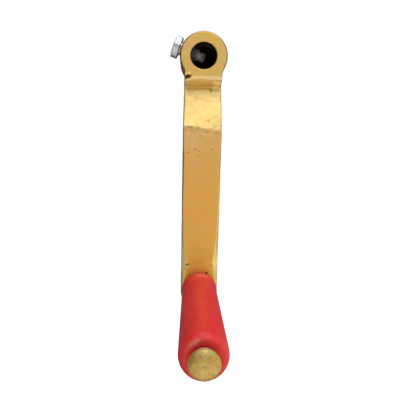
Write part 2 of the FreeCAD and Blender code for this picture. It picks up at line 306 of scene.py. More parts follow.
# Dents and pits in the arm's front: x, z and radius in millimetres, depth in units of PIT_DEPTH, and darkness
PITS = [
    (-9.9, -12.3, 1.8, 2.0, 1.0),
    (-8.6, -11.8, 1.4, 1.0, 1.0),
    (4.4, -18.0, 0.55, 0.45, 0.8),
    (5.2, -18.9, 0.6, 0.5, 0.9),
    (5.0, -19.9, 0.5, 0.35, 0.7),
    (-7.9, -16.0, 0.7, 0.25, 0.3),
    (-5.4, -18.6, 0.8, 0.25, 0.2),
    (-2.9, -43.1, 0.85, 0.30, 0.35),
    (-6.4, -42.2, 1.3, 0.30, 0.3),
    (-8.5, -41.9, 0.9, 0.25, 0.25),
    (0.4, -44.4, 1.2, 0.30, 0.2),
    (2.3, -44.8, 1.1, 0.28, 0.25),
    (8.8, -45.2, 0.9, 0.30, 0.30),
    (6.2, -45.4, 0.9, 0.25, 0.2),
    (-0.3, -47.0, 0.7, 0.30, 0.35),
    (7.9, -48.4, 0.6, 0.2, 0.25),
    (3.3, -38.4, 0.9, 0.22, 0.38),
    (7.0, -35.9, 0.8, 0.20, 0.34),
    (8.4, -31.2, 0.7, 0.14, 0.3),
    (8.8, -28.4, 0.6, 0.12, 0.24),
    (5.4, -36.9, 1.0, 0.12, 0.16),
    (2.2, -36.0, 0.9, 0.12, 0.12),
    (9.2, -38.6, 0.7, 0.12, 0.2),
    (-4.6, -33.5, 1.5, 0.10, 0.07),
    (-8.4, -39.6, 0.9, 0.12, 0.12),
    (-7.2, -27.0, 1.3, 0.10, 0.07),
    (1.0, -29.5, 1.4, 0.08, 0.06),
    (-8.0, -56.6, 0.9, 0.25, 0.55),
    (-8.7, -54.2, 0.6, 0.2, 0.25),
    (-3.9, -54.5, 1.1, 0.2, 0.48),
    (-1.9, -56.0, 0.8, 0.2, 0.38),
    (-2.4, -58.8, 0.9, 0.18, 0.34),
    (5.7, -54.6, 0.8, 0.2, 0.45),
    (-7.7, -125.0, 0.95, 0.6, 0.85),
    (-6.0, -125.0, 0.9, 0.25, 0.5),
    (6.2, -125.0, 0.8, 0.3, 0.5),
    (7.4, -125.5, 0.7, 0.35, 0.55),
    # The next two marks darken the arm where it meets the grip's base.
    (4.4, -130.2, 0.95, 0.35, 0.95),
    (-5.9, -131.9, 0.6, 0.2, 0.5),
    (-0.5, -66.8, 0.6, 0.10, 0.28),
    (-5.2, -89.0, 0.6, 0.12, 0.45),
    (3.9, -91.5, 0.6, 0.12, 0.42),
]


# Rosy patches in the plating: share, x and half width, z and half height in millimetres, and the bell's power
ROSY_PATCHES = [
    (0.85, -7.0, 6.0, -49.5, 5.5, 4),
    (0.6, -9.5, 4.0, 6.0, 5.0, 2),
    (0.5, 10.5, 3.0, 2.0, 6.0, 2),
]


def remeshed(node, voxel, smoothing):
    """Points in millimetres, normals and faces of a CAD node remeshed in even quads, with softened edges."""
    copy = new_object("copy_of_" + node, frame["nodes"][node].data.copy())
    weld = copy.modifiers.new("weld", "WELD")
    weld.merge_threshold = WELD_DISTANCE * MM
    remesh = copy.modifiers.new("remesh", "REMESH")
    remesh.mode = "VOXEL"
    remesh.voxel_size = voxel * MM
    smooth = copy.modifiers.new("smooth", "SMOOTH")
    smooth.factor = 0.5
    smooth.iterations = smoothing
    mesh = bpy.data.meshes.new_from_object(copy.evaluated_get(bpy.context.evaluated_depsgraph_get()))
    points = np.zeros(len(mesh.vertices) * 3)
    mesh.vertices.foreach_get("co", points)
    normals = np.zeros(len(mesh.vertices) * 3)
    mesh.vertices.foreach_get("normal", normals)
    faces = [tuple(face.vertices) for face in mesh.polygons]
    bpy.data.objects.remove(copy)
    bpy.data.meshes.remove(mesh)
    return points.reshape(-1, 3) / MM, normals.reshape(-1, 3), faces


def bend_drop(x):
    """How far the bend's line lies below its middle."""
    return BEND_DROP * x / BOSS_R


def shape_forging(points, normals, from_bore, front):
    """Moves the arm's points where the forging departs from its plain outline, and makes its skin uneven."""
    x, y, z = points.T  # views, so they follow the points as these move

    # Surfaces that a tool has cut or a washer sits on stay true
    from_eye = np.hypot(x, z - GRIP_AXIS_Z)
    bore_wall = 1 - smooth_step(BORE_R + 0.6, BORE_R + 1.6, from_bore)
    rear_face = smooth_step(-1.2, -0.3, y)
    washer_seat = (1 - smooth_step(8.2, 9.2, from_eye)) * np.abs(normals[:, 1])
    forged = (1 - bore_wall) * (1 - rear_face) * (1 - smooth_step(0.3, 0.9, washer_seat))

    near_bend = bell(z, BEND_Z, 4.0) * front
    wander = BEND_WANDER * bumps(np.stack([x, 0 * x, 0 * x], -1), 3.5, 2, 4.0)
    points[:, 2] += near_bend * (wander - bend_drop(x))

    # The hollow under the boss is partly filled, more so towards the right and at the left edge
    in_hollow = bell(z, HOLLOW_Z, 1.8) * smooth_step(0.0, 0.5, -normals[:, 1])
    fill_right = HOLLOW_FILL_RIGHT * smooth_step(*HOLLOW_FILL_RIGHT_X, x)
    fill_left = HOLLOW_FILL_LEFT * smooth_step(*HOLLOW_FILL_LEFT_X, -x)
    points[:, 1] -= in_hollow * (HOLLOW_FILL + fill_right + fill_left)

    on_shelf = smooth_step(*SHELF_TOP, z) * smooth_step(*SHELF_FOOT, z) * (y < SHELF_REAR_Y)
    points[:, 2] += on_shelf * SHELF_WAVE * bumps(points, 5.0, 2, 15.0)
    points[:, 2] += CREASE_LIFT * bell(z, CREASE_Z, 2.6) * smooth_step(-17.5, -20.5, y)

    swell = SKIN_SWELL * bumps(points, 13.0) + SKIN_RIPPLE * bumps(points, 5.0, 2, 7.0)
    lumps = near_bend * BEND_LUMPS * bumps(points, 2.6, 2, 11.0)
    points += (forged * (swell + lumps))[:, None] * normals


def press_pits(points, front):
    """Presses the pits into the arm's front, and returns how dark they make each point."""
    grime = np.zeros(len(points))
    ragged = 1 + PIT_RAGGEDNESS * bumps(points, 1.1, 2, 6.0)
    for pit_x, pit_z, radius, depth, dark in PITS:
        distance = np.hypot(points[:, 0] - pit_x, (points[:, 2] - pit_z) * PIT_SQUASH) * ragged
        hollow = bell(distance, 0, radius) * front
        points[:, 1] += PIT_DEPTH * depth * hollow
        grime = np.maximum(grime, dark * smooth_step(0.25, 0.85, hollow))
    return grime


def edge_marks(points, normals, from_bore, front):
    """Shares of painted shade along the front edges of boss and arm, and of wear with painted highlight on
    the bevels above the pad.
    """
    x, y, z = points.T
    on_boss = smooth_step(BOSS_R - 2.5, BOSS_R - 1.5, from_bore) * smooth_step(-11.5, -10.5, z)
    on_arm = 1 - on_boss
    from_axis = (x * normals[:, 0] + z * normals[:, 2]) / from_bore
    outwards = on_arm * np.abs(normals[:, 0]) + on_boss * from_axis
    bevelled = smooth_step(*BEVEL_Z, z)
    starts = SHADE_STARTS - SHADE_SOONER_ON_BOSS * on_boss + SHADE_LATER_ON_BEVELS * bevelled
    starts -= SHADE_SOONER_AT_LEFT * (x < 0) * on_arm * (1 - bevelled)
    edge_shade = smooth_step(0.0, 0.25, outwards - starts) * smooth_step(-0.35, 0.1, -normals[:, 1])
    edge_shade *= 1 - 0.9 * bevelled * (x > 0)
    # The bevels' wear is also a painted highlight, paler where the bevels catch light from the sides.
    bevel_wear_and_highlight = bevelled * smooth_step(0.35, 0.6, outwards) * front * np.where(x > 0, RIGHT_BEVEL_WEAR_AND_HIGHLIGHT, 1)
    return EDGE_SHADE * edge_shade, bevel_wear_and_highlight


def rosy_marks(points):
    """Shares of the rosy patches in the plating."""
    x, y, z = points.T
    patches = sum(
        share * bell(x, at_x, half_width, power) * bell(z, at_z, half_height, power)
        for share, at_x, half_width, at_z, half_height, power in ROSY_PATCHES
    )
    return patches * (0.8 + 0.6 * bumps(points, 4.0, 2, 51.0))


def crease_marks(points):
    """Shares of the dark band of painted shade in the crease under the boss's front, which fades at both
    sides.
    """
    x, y, z = points.T
    uneven = CREASE_DARK_WANDER * bumps(points * (1, 0, 0.5), 4.0, 2, 21.0)
    under_top = smooth_step(*CREASE_DARK_TOP, z - uneven)
    over_foot = smooth_step(*CREASE_DARK_FOOT, z - 0.3 * uneven)
    fade_right = 1 - 0.75 * smooth_step(*CREASE_FADES_RIGHT_X, x)
    fade_left = smooth_step(*CREASE_FADES_LEFT_X, x)
    return under_top * over_foot * (y < SHELF_REAR_Y) * fade_right * fade_left


def crank_arm():
    """The forged arm, with the marks that its material reads painted on its vertices."""
    points, normals, faces = remeshed("crank_arm", VOXEL, ARM_SMOOTHING)
    from_bore = np.hypot(points[:, 0], points[:, 2])
    front = smooth_step(0.2, 0.7, -normals[:, 1])
    shape_forging(points, normals, from_bore, front)
    grime = press_pits(points, front)
    x, y, z = points.T

    # A broken dark line follows the bend, with pale flecks under it
    line_z = BEND_Z + BEND_LINE_RISE - bend_drop(x)
    broken = smooth_step(-0.15, 0.45, bumps(points * (1, 0, 0.6), 2.2, 2, 31.0))
    grime = np.maximum(grime, BEND_DIRT * bell(z, line_z, BEND_LINE_WIDTH) * front * broken)
    flecked = smooth_step(-0.1, 0.5, bumps(points, 2.6, 1, 41.0))
    flecks = FLECKS * bell(z, line_z - FLECKS_BELOW, FLECKS_WIDTH) * flecked
    # A painted highlight on the shelf's rounded edge under the boss's front.
    shelf_highlight = bell(x, *SHELF_HIGHLIGHT_X, 4) * bell(z, *SHELF_HIGHLIGHT_Z) * (y < SHELF_REAR_Y)
    edge, bevel_wear_and_highlight = edge_marks(points, normals, from_bore, front)

    low = np.array(ARM_LOW) + BOX_MARGIN
    high = np.array(ARM_HIGH) - BOX_MARGIN
    arm = make_piece("forged_arm", np.clip(points, low, high), faces, "crank", ["crank_arm"])
    set_attribute(arm, "grime", grime)
    # The edge mark is painted shade along the edges that face sideways, reaching further in at the left.
    set_attribute(arm, "edge", edge)
    # The wear mark holds wear with painted highlights on the bevels, the shelf's painted highlight and the
    # pale flecks.
    set_attribute(arm, "wear_and_highlight", np.maximum.reduce([bevel_wear_and_highlight, shelf_highlight, flecks]))
    set_attribute(arm, "rosy", rosy_marks(points))
    # The crease mark paints shade on the slope under the boss that faces down.
    set_attribute(arm, "crease", crease_marks(points))
    # The in_bore mark darkens the bore's wall, for oil and painted shade.
    set_attribute(arm, "in_bore", (1 - smooth_step(BORE_R + 0.1, BORE_R + 0.9, from_bore)) * (y < -0.4))
    return arm


# ---------------------------------------------------------------- set bolt

BOLT_REACH = 15.3  # from the bore's axis to the underside of the head
BOLT_LENGTH = 16.0
BOLT_HEAD = 4.0
BOLT_FLATS = 13.0
BOLT_TURN = 22.0  # degrees
BOLT_CORNER_CUT = 0.7
HEAD_DISC = 0.97  # its washer face's width as a share of its flats
BOLT_CREST_R = 3.94
BOLT_ROOT_R = 3.35
POINT_R = 2.75
POINT_LENGTH = 4.0
BOLT_COLUMNS = 96
RINGS_PER_TURN = 9

# Outlines: height above the point's end and radius, and depth below the head's top and reach past its disc
POINT_NOSE = [(0, 1.2), (0.02, 1.9), (0.12, 2.25), (0.4, 2.6), (0.75, POINT_R)]
HEAD_CHAMFER = [(0.75, 1.25), (0.6, 0.95), (0.45, 0.6), (0.3, 0.25), (0.16, -0.05), (0.07, -0.3), (0.0, -0.6)]


def hexagon_radius(angles, flats, turn, corner_cut):
    """Distance from the axis to a hexagon's side, with its corners cut round corner_cut inside their tips."""
    sixth = math.pi / 3
    from_side = (angles - math.radians(turn)) % sixth - sixth / 2
    straight = flats / 2 / np.cos(from_side)
    return np.minimum(straight, flats / math.sqrt(3) - corner_cut)


def set_bolt():
    """The set bolt, from its dog point to its dished hexagon head, oily and painted with shade where it
    stands in the bore.
    """
    start = BOLT_REACH - BOLT_LENGTH
    thread_start = start + POINT_LENGTH
    rings = Rings(BOLT_COLUMNS)
    for along, radius in POINT_NOSE:
        rings.add(start + along, radius)
    for along in np.linspace(start + 1.2, thread_start - 0.1, 10):
        rings.add(along, POINT_R)
    for along in np.arange(thread_start, BOLT_REACH - 0.5, THREAD_PITCH / RINGS_PER_TURN):
        lead_in = smooth_step(0, 1.2, along - thread_start)
        crest = between(POINT_R + 0.3, BOLT_CREST_R, lead_in)
        root = between(POINT_R + 0.1, BOLT_ROOT_R, lead_in)
        run_out = smooth_step(0, 1.0, BOLT_REACH - 0.4 - along)
        rings.add(along, between(root, crest, 1 - run_out * (1 - thread_depth(along, rings.angles))))
    rings.add(BOLT_REACH - 0.25, BOLT_CREST_R)
    rings.add(BOLT_REACH - 0.02, BOLT_CREST_R)

    # The hexagon stands on a round washer face, and a cone cuts its corners at the top
    hexagon = hexagon_radius(rings.angles, BOLT_FLATS, BOLT_TURN, BOLT_CORNER_CUT)
    disc = BOLT_FLATS / 2 * HEAD_DISC
    top = BOLT_REACH + BOLT_HEAD
    rings.add(BOLT_REACH, BOLT_CREST_R + 0.3)
    rings.add(BOLT_REACH, disc - 0.4)
    rings.add(BOLT_REACH + 0.05, np.minimum(hexagon, disc) - 0.1)
    rings.add(BOLT_REACH + 0.18, np.minimum(hexagon, disc + 0.35))
    rings.add(BOLT_REACH + 0.35, np.minimum(hexagon, disc + 0.85))
    for share in (0.15, 0.4, 0.6):
        rings.add(BOLT_REACH + BOLT_HEAD * share, hexagon)
    for drop, beyond in HEAD_CHAMFER:
        rings.add(top - drop, np.minimum(hexagon, disc - 0.1 + beyond))
    rings.add(top - 0.02, disc - 1.4)
    rings.add(top - 0.3, disc - 2.2)
    rings.add(top - 0.4, 2.0)

    points, faces = rings.skin()
    up_the_side = Vector((0, 1, 0)).cross(BOLT_AXIS)
    points = placed(points, (0, BOLT_Y, 0), up_the_side, BOLT_AXIS)
    bolt = make_piece("hex_set_bolt", points, faces, "set_bolt", ["set_bolt"])
    from_bore = np.hypot(points[:, 0], points[:, 2])
    inside = 1 - smooth_step(BORE_R - 0.5, BORE_R + 1.5, from_bore)
    at_tip = 1 - smooth_step(0.3, 2.4, from_bore)
    # Inside the bore the bolt is painted darker, for oil and for the bore's shade, most at its tip.
    set_attribute(bolt, "oil_and_shade", inside * (0.58 + 0.28 * smooth_step(3.0, 6.0, from_bore) + 0.34 * at_tip))
    return bolt


# ---------------------------------------------------------------- spindle

SPINDLE_COLUMNS = 120
THREAD_CREST_R = 3.98
THREAD_ROOT_R = 3.38
THREAD_END_R = 3.45
THREAD_RING_STEP = 0.14
SHANK_R = 5.0
HEAD_R = 6.85
HEAD_BAND = 2.1
DOME_RISE = 2.3
DOME_SPHERE_R = (HEAD_R**2 + DOME_RISE**2) / (2 * DOME_RISE)
CENTRE_MARK = Vector((0.0, 1.1, 0))
WASHER_THICK = 1.6


def below_sphere(radius, angles):
    """How far the hammered dome lies under its sphere around the ring of that radius."""
    spots = [Vector((radius * math.cos(a), radius * math.sin(a), 0)) for a in angles]
    flats = np.array([noise.voronoi(spot / 2.9 + Vector((3.3, 1.7, 0)))[0][0] for spot in spots])
    dents = np.array([noise.fractal(spot / 1.5 + Vector((0, 0, 5)), 1.0, 2.0, 2) for spot in spots])
    inner = smooth_step(0, 1.6, HEAD_R - radius)
    uneven = inner * (0.30 * (flats - 0.35) + 0.14 * dents)
    rounded_rim = 0.45 * math.exp(-((HEAD_R - radius) / 0.6))
    mark = 0.5 * bell(np.array([(spot - CENTRE_MARK).length for spot in spots]), 0, 1.05)
    return rounded_rim + mark + 0.12 - uneven


def spindle():
    """The grip's axle: threaded end, shoulder, shank and a head that was riveted round by hand."""
    rear = ARM_FACE - SPINDLE_HIGH.y
    top = ARM_FACE - SPINDLE_LOW.y
    band_end = top - DOME_RISE + 0.1
    seat = band_end - HEAD_BAND
    rings = Rings(SPINDLE_COLUMNS)
    rings.add(rear, 2.4)
    rings.add(rear, 3.2)
    rings.add(rear + 0.1, THREAD_END_R)
    for along in np.arange(rear + 0.2, rear + 11.5, THREAD_RING_STEP):
        crest = between(THREAD_END_R, THREAD_CREST_R, smooth_step(0.1, 0.8, along - rear))
        rings.add(along, between(THREAD_ROOT_R, crest, thread_depth(along, rings.angles)))
    rings.add(rear + 12.0, THREAD_CREST_R)
    rings.add(WASHER_THICK - 0.05, THREAD_CREST_R)
    rings.add(WASHER_THICK, THREAD_CREST_R + 0.1)
    rings.add(WASHER_THICK, SHANK_R - 0.2)
    rings.add(WASHER_THICK + 0.2, SHANK_R)
    for along in np.linspace(WASHER_THICK + 1, seat - 0.3, 30):
        rings.add(along, SHANK_R)
    rings.add(seat, SHANK_R + 0.1)

    # The head's edge is rounded over and its dome is a cap of a sphere, with flats, dents and a centre mark
    for above_seat, cut in ((0, 0.7), (0.1, 0.3), (0.35, 0.08), (0.75, 0)):
        rings.add(seat + above_seat, HEAD_R - cut)
    rings.add(band_end - 0.35, HEAD_R)
    for radius in np.concatenate([[HEAD_R - 0.03, HEAD_R - 0.1], np.linspace(HEAD_R - 0.25, 0.15, 44)]):
        sphere = band_end + math.sqrt(DOME_SPHERE_R**2 - radius**2) - (DOME_SPHERE_R - DOME_RISE)
        rings.add(sphere - below_sphere(radius, rings.angles), radius)
    points, faces = rings.skin(highest=top - BOX_MARGIN)
    points = on_grip_axis(points)
    return make_piece("riveted_spindle", points, faces, "crank", ["grip_spindle"])


# ---------------------------------------------------------------- grip

GRIP_COLUMNS = 160
GRIP_BASE_R = 10.3
GRIP_RIM_R = 11.13
GRIP_LIP_R = 5.35
GRIP_LIP = 2.4
GRIP_CORE_R = 6.5
GRIP_ARC_STEP = 0.35
GRIP_LONGEST_RUN = 0.8
BASE_ROUND = 2.0
BASE_FLARE = 0.5
END_LENGTH = 5.4  # the outer end rounds over in a quarter of an ellipse
END_FALL = 3.9
END_SWEEP = 68.0  # degrees of the quarter ellipse, which ends in a blunt edge
END_DISH = 0.5
SHRINK_MARKS = 0.05
PARTING_ANGLE = 62.0
PARTING_RISE = 0.035
NICK_DEPTH = 0.25
NICK_X = -4.2
NICK_R = 8.6
# Dust and a painted sheen at the top of the grip's base: its share and the angle where it lies
BASE_DUST_AND_SHEEN = 0.5
DUST_AND_SHEEN_ANGLE = 82


def grip_outline(start, end):
    """The grip's closed section as (radius, along): its outside, rounded end, dished end face and hollow."""
    end_start_r = GRIP_BASE_R + (GRIP_RIM_R - GRIP_BASE_R) * (1 - END_LENGTH / (end - start))
    sweep = np.radians(np.linspace(0, END_SWEEP, 26)[1:])
    reach = np.sin(sweep) / np.sin(sweep[-1])
    end_round = np.stack([end_start_r - END_FALL * (1 - np.cos(sweep)), end - END_LENGTH * (1 - reach)], -1)
    outside = [
        (GRIP_LIP_R, start + GRIP_LIP, 0),
        (GRIP_LIP_R, start, 0.4),
        (GRIP_BASE_R, start, BASE_ROUND),
        (end_start_r, end - END_LENGTH, 0),
    ]
    mouth = [
        (end_round[-1, 0], end, 0),
        (GRIP_LIP_R, end - END_DISH, 0.5),
        (GRIP_LIP_R, end - GRIP_LIP, 0),
        (GRIP_CORE_R, end - GRIP_LIP, 0),
        (GRIP_CORE_R, start + GRIP_LIP, 0),
        (GRIP_LIP_R, start + GRIP_LIP, 0),
    ]
    runs = [rounded_profile(outside, GRIP_ARC_STEP), end_round, rounded_profile(mouth, GRIP_ARC_STEP)[1:]]
    outline = divided(np.vstack(runs), GRIP_LONGEST_RUN)[:-1]
    flare = BASE_FLARE * bell(outline[:, 1], start + 2.4, 2.8)
    outline[:, 0] += flare * smooth_step(GRIP_CORE_R + 0.5, GRIP_BASE_R, outline[:, 0])
    return outline


def grip_sleeve():
    """The moulded grip, with shrink marks, the mould's parting line and a nick on the outer rim that is
    painted paler.
    """
    start = ARM_FACE - GRIP_HIGH.y
    end = ARM_FACE - GRIP_LOW.y
    outline = grip_outline(start, end)
    radii = np.repeat(outline[:, :1], GRIP_COLUMNS, 1)
    along = np.repeat(outline[:, 1:], GRIP_COLUMNS, 1)
    points, faces = ring_skin(radii, along, closed=True)
    x, y, z = points.T
    radius = np.hypot(x, y)
    angle = np.degrees(np.arctan2(y, x))
    skin = smooth_step(GRIP_CORE_R + 0.3, GRIP_CORE_R + 1.5, radius)
    seam = np.zeros(len(points))
    for at in (PARTING_ANGLE, PARTING_ANGLE - 180):
        away = np.radians((angle - at + 180) % 360 - 180) * radius
        seam += bell(away, 0, 0.35)
    nick = bell(x, NICK_X, 2.2) * bell(radius, NICK_R, 0.9) * smooth_step(end - 4, end - 2, z) * (y > 0)
    nick *= 0.6 + 0.5 * bumps(points, 0.9, 2, 5.0)
    # A pale mark at the top of the grip's base: dust, and a painted sheen for the arm's reflection there.
    dust_and_sheen = bell(z - start, 5.0, 2.6) * bell(angle, DUST_AND_SHEEN_ANGLE, 22) * skin
    sag = SHRINK_MARKS * bumps(points * (1, 1, 0.3), 14.0, 1, 2.0) - 0.06
    grow = skin * (sag + PARTING_RISE * seam - NICK_DEPTH * np.clip(nick, 0, 1))
    points[:, :2] *= (1 + grow / np.maximum(radius, 1))[:, None]
    grip = make_piece("moulded_grip", on_grip_axis(points), faces, "grip", ["grip_sleeve"])
    # The nick's mark paints a paler spot on the rim.
    set_attribute(grip, "pale_rim_spot", np.clip(nick * 1.2, 0, 0.7))
    set_attribute(grip, "dust_and_sheen", BASE_DUST_AND_SHEEN * dust_and_sheen)
    return grip


# ---------------------------------------------------------------- washers, nut and tube

BROKEN_EDGE = 0.15


def bevelled(node, width):
    """A CAD node that keeps its mesh, with its edges broken."""
    bevel = frame["nodes"][node].modifiers.new("bevel", "BEVEL")
    bevel.width = width * MM
    bevel.segments = 2
    bevel.limit_method = "ANGLE"
    bevel.angle_limit = math.radians(40)
    return frame["nodes"][node]


# ---------------------------------------------------------------- material tools


def map_range(tree, value, low, high, to_low=0.0, to_high=1.0, kind="SMOOTHSTEP"):
    """A socket that goes from to_low to to_high as value goes from low to high."""
    node = tree.nodes.new("ShaderNodeMapRange")
    node.interpolation_type = kind
    for socket, number in zip(("From Min", "From Max", "To Min", "To Max"), (low, high, to_low, to_high)):
        node.inputs[socket].default_value = number
    tree.links.new(value, node.inputs["Value"])
    return node.outputs["Result"]


def calculated(tree, operation, first, second):
    """The result of an operation on two values, each a number or a socket."""
    node = tree.nodes.new("ShaderNodeMath")
    node.operation = operation
    for socket, value in zip(node.inputs, (first, second)):
        if isinstance(value, (int, float)):
            socket.default_value = value
        else:
            tree.links.new(value, socket)
    return node.outputs[0]


class Surface:
    """A Principled material with short ways to add the nodes that these surfaces share.
    Its roughness and metallic are the shader's own values, which linked nodes take over."""

    def __init__(self, name, roughness, metallic):
        self.material = bpy.data.materials.new(name)
        self.material.use_nodes = True
        self.tree = self.material.node_tree
        self.shader = self.tree.nodes["Principled BSDF"]
        self.shader.inputs["Roughness"].default_value = roughness
        self.shader.inputs["Metallic"].default_value = metallic
        self.place = self.tree.nodes.new("ShaderNodeTexCoord").outputs["Object"]

    def drive(self, input_name, source):
        """Links a socket to one of the shader's inputs."""
        self.tree.links.new(source, self.shader.inputs[input_name])

    def noise(self, size, detail=3.0, roughness=0.55, offset=(0, 0, 0), stretch=(1, 1, 1), distortion=0.0):
        """Noise whose features are about size millimetres."""
        mapping = self.tree.nodes.new("ShaderNodeMapping")
        mapping.inputs["Location"].default_value = offset
        mapping.inputs["Scale"].default_value = [1 / (size * MM * s) for s in stretch]
        self.tree.links.new(self.place, mapping.inputs["Vector"])
        texture = self.tree.nodes.new("ShaderNodeTexNoise")
        texture.inputs["Scale"].default_value = 1.0
        texture.inputs["Detail"].default_value = detail
        texture.inputs["Roughness"].default_value = roughness
        texture.inputs["Distortion"].default_value = distortion
        self.tree.links.new(mapping.outputs["Vector"], texture.inputs["Vector"])
        return texture.outputs["Fac"]

    def ramp(self, value, low, high, to_low=0.0, to_high=1.0):
        return map_range(self.tree, value, low, high, to_low, to_high)

    def calculated(self, operation, first, second):
        return calculated(self.tree, operation, first, second)

    def mix(self, share, first, second):
        """first where share is 0, second where it is 1; each is a colour or a socket."""
        node = self.tree.nodes.new("ShaderNodeMix")
        node.data_type = "RGBA"
        self.tree.links.new(share, node.inputs["Factor"])
        for socket, colour in ((node.inputs[6], first), (node.inputs[7], second)):
            if isinstance(colour, tuple):
                socket.default_value = (*colour, 1)
            else:
                self.tree.links.new(colour, socket)
        return node.outputs[2]

    def patched(self, under, over, pattern, low, high, share=1.0):
        """under with over laid on it, up to share, where the pattern rises from low to high."""
        return self.mix(self.ramp(pattern, low, high, 0.0, share), under, over)

    def height(self):
        """The socket of the height in the CAD frame, in metres."""
        node = self.tree.nodes.new("ShaderNodeSeparateXYZ")
        self.tree.links.new(self.place, node.inputs[0])
        return node.outputs["Z"]

    def attribute(self, name):
        """The number painted on the piece's vertices under this name, and 0 where there is none."""
        node = self.tree.nodes.new("ShaderNodeAttribute")
        node.attribute_name = name
        return node.outputs["Fac"]

    def bump(self, heights):
        """Adds bumps from (height socket, depth in millimetres, strength)."""
        normal = None
        for value, depth, strength in heights:
            node = self.tree.nodes.new("ShaderNodeBump")
            node.inputs["Strength"].default_value = strength
            node.inputs["Distance"].default_value = depth * MM
            self.tree.links.new(value, node.inputs["Height"])
            if normal is not None:
                self.tree.links.new(normal, node.inputs["Normal"])
            normal = node.outputs["Normal"]
        self.drive("Normal", normal)


# ---------------------------------------------------------------- materials

# The yellow film on the arm: its tint at the boss, and further down the heights in millimetres between which
# each next tint comes in
BOSS_TINT = (0.90, 0.600, 0.155)
FILM_TINTS = [
    (-10.5, -13.0, (0.92, 0.700, 0.290)),
    (-19.5, -26.0, (0.73, 0.515, 0.200)),
    (-41.0, -47.0, (0.92, 0.535, 0.155)),
    (-48.0, -80.0, (0.93, 0.480, 0.098)),
    (-90.0, -130.0, (0.87, 0.610, 0.115)),
]
GREENISH_FILM = (0.78, 0.555, 0.110)
PINKISH_FILM = (0.90, 0.500, 0.215)
PALE_FILM = (0.95, 0.72, 0.33)
DULL_FILM = (0.50, 0.31, 0.08)

# The colours that the marks painted on the arm bring, in the order that they are laid on; the crease and edge
# marks are painted shade, and the wear mark is wear with painted highlights
ARM_MARKS = [
    ("rosy", (0.95, 0.560, 0.250)),
    ("crease", (0.76, 0.545, 0.170)),
    ("wear_and_highlight", (0.95, 0.700, 0.330)),
    ("edge", (0.20, 0.09, 0.02)),
]
STAIN = (0.52, 0.29, 0.075)
PIT_DIRT = (0.11, 0.035, 0.006)
# The bore's wall is dark with oil and with painted shade.
BORE_OIL_AND_SHADE = (0.030, 0.024, 0.018)
PLATED_METALLIC = 0.92
WORN_METALLIC = 0.40
WORN_ROUGHNESS = 0.66


def yellow_zinc():
    """Zinc plate with a yellow chromate film, uneven in tint, and the marks painted on the arm: painted shade
    in the crease, along the edges and in the bore, and painted highlights on the bevels and the shelf.
    """
    s = Surface("yellow_zinc", 0.42, PLATED_METALLIC)
    height = s.height()
    colour = BOSS_TINT
    for low, high, tint in FILM_TINTS:
        colour = s.patched(colour, tint, height, low * MM, high * MM)
    greenish = s.noise(8.0, 3, 0.5, (3, 1, 7), distortion=0.4)
    colour = s.patched(colour, GREENISH_FILM, greenish, 0.48, 0.70, 0.35)
    pinkish = s.noise(7.0, 3, 0.5, (9, 4, 2), distortion=0.4)
    colour = s.patched(colour, PINKISH_FILM, pinkish, 0.50, 0.70, 0.42)
    colour = s.patched(colour, PALE_FILM, s.noise(4.0, 4, 0.6, (1, 8, 5)), 0.52, 0.78, 0.22)
    colour = s.patched(colour, DULL_FILM, s.noise(1.6, 4, 0.65, (5, 5, 1)), 0.62, 0.80, 0.16)
    for mark, tint in ARM_MARKS:
        colour = s.mix(s.attribute(mark), colour, tint)
    grime = s.attribute("grime")
    colour = s.patched(colour, STAIN, grime, 0.0, 0.5, 0.8)
    colour = s.patched(colour, PIT_DIRT, grime, 0.35, 0.95)
    s.drive("Base Color", s.mix(s.attribute("in_bore"), colour, BORE_OIL_AND_SHADE))
    wear_and_highlight = s.attribute("wear_and_highlight")
    s.drive("Metallic", s.ramp(wear_and_highlight, 0, 1, PLATED_METALLIC, WORN_METALLIC))
    patchy = s.ramp(s.noise(2.8, 4, 0.6, (7, 3, 3)), 0.3, 0.75, 0.38, 0.50)
    rubbed = s.calculated("MAXIMUM", wear_and_highlight, s.attribute("crease"))
    s.drive("Roughness", s.calculated("MAXIMUM", patchy, s.calculated("MULTIPLY", rubbed, WORN_ROUGHNESS)))
    s.bump([(s.noise(3.0, 3, 0.55, (4, 4, 9)), 0.07, 0.4), (s.noise(0.8, 2, 0.5, (2, 2, 2)), 0.012, 0.4)])
    return s.material


HEAD_BROWN = (0.70, 0.435, 0.115)
HEAD_GREEN = (0.66, 0.515, 0.175)
BARE_STEEL = (0.72, 0.590, 0.380)
HEAD_DIRT = (0.22, 0.13, 0.04)


def spindle_zinc():
    """The same plate on the spindle, scuffed grey where its head was riveted over."""
    s = Surface("spindle_zinc", 0.42, PLATED_METALLIC)
    tint = s.noise(3.4, 3, 0.6, (2, 9, 4), distortion=0.5)
    colour = s.patched(HEAD_BROWN, HEAD_GREEN, tint, 0.40, 0.68)
    colour = s.patched(colour, BARE_STEEL, s.noise(2.2, 4, 0.65, (6, 2, 1)), 0.55, 0.75, 0.6)
    s.drive("Base Color", s.patched(colour, HEAD_DIRT, s.noise(1.5, 4, 0.65, (1, 3, 8)), 0.52, 0.72, 0.55))
    s.drive("Roughness", s.ramp(s.noise(1.8, 4, 0.6, (7, 3, 3)), 0.3, 0.75, 0.48, 0.62))
    s.bump([(s.noise(1.2, 3, 0.6, (4, 4, 9)), 0.05, 0.4)])
    return s.material


GRIP_STRETCH = (1, 5, 1)  # the mould's draw marks run along the grip
DEEP_RED = (0.78, 0.027, 0.025)
CLEAR_RED = (0.86, 0.042, 0.036)
RUBBED_RED = (0.85, 0.09, 0.075)
DUST_AND_SHEEN_RED = (0.95, 0.25, 0.21)
PALE_RIM_RED = (0.75, 0.30, 0.19)


